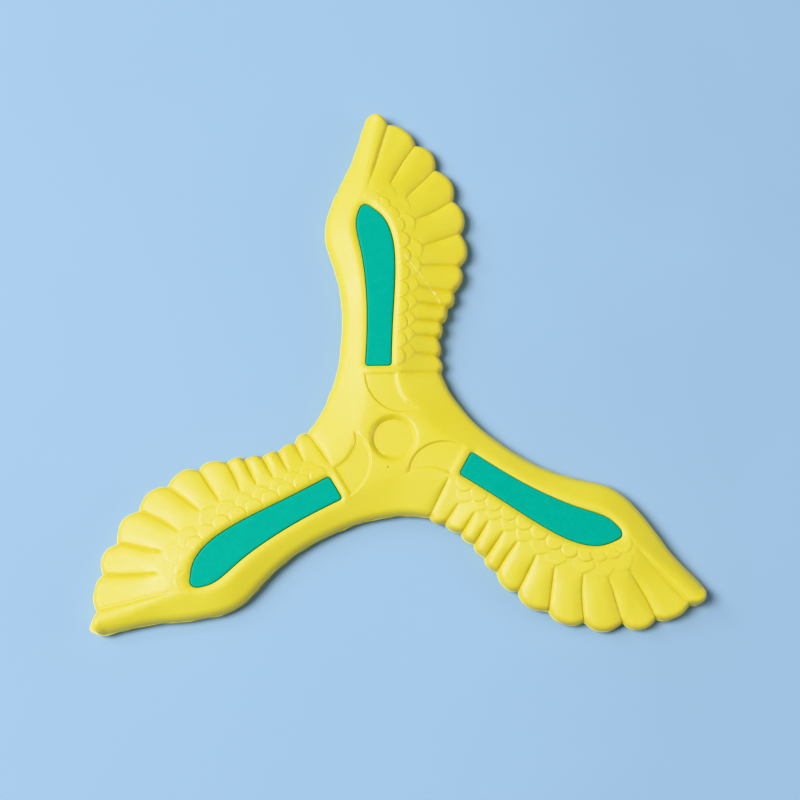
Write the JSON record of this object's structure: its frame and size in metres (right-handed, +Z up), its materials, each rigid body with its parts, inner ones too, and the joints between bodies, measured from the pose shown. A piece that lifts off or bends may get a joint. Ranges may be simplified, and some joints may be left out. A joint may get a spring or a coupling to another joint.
{
  "type": "boomerang",
  "caption": "Soft foam throwing boomerang with three feathered wings round a dished hub and a coloured foam insert let into each wing.",
  "frame": {"origin": "hub axis where it meets the flat underside", "axes": "+Z up out of the feathered side, along the axis of threefold symmetry; +Y along the wing of insert_1; +X towards that wing's feathers"},
  "size_m": [0.2626, 0.2347, 0.0122],
  "materials": {
    "body_foam": "matte",
    "insert_foam": "matte",
    "adhesive": "satin"
  },
  "bodies": {
    "root": {"foam_body": "body_foam", "insert_1": "insert_foam", "insert_2": "insert_foam", "insert_3": "insert_foam", "adhesive_film_1": "adhesive", "adhesive_film_2": "adhesive", "adhesive_film_3": "adhesive"}
  },
  "joints": []
}
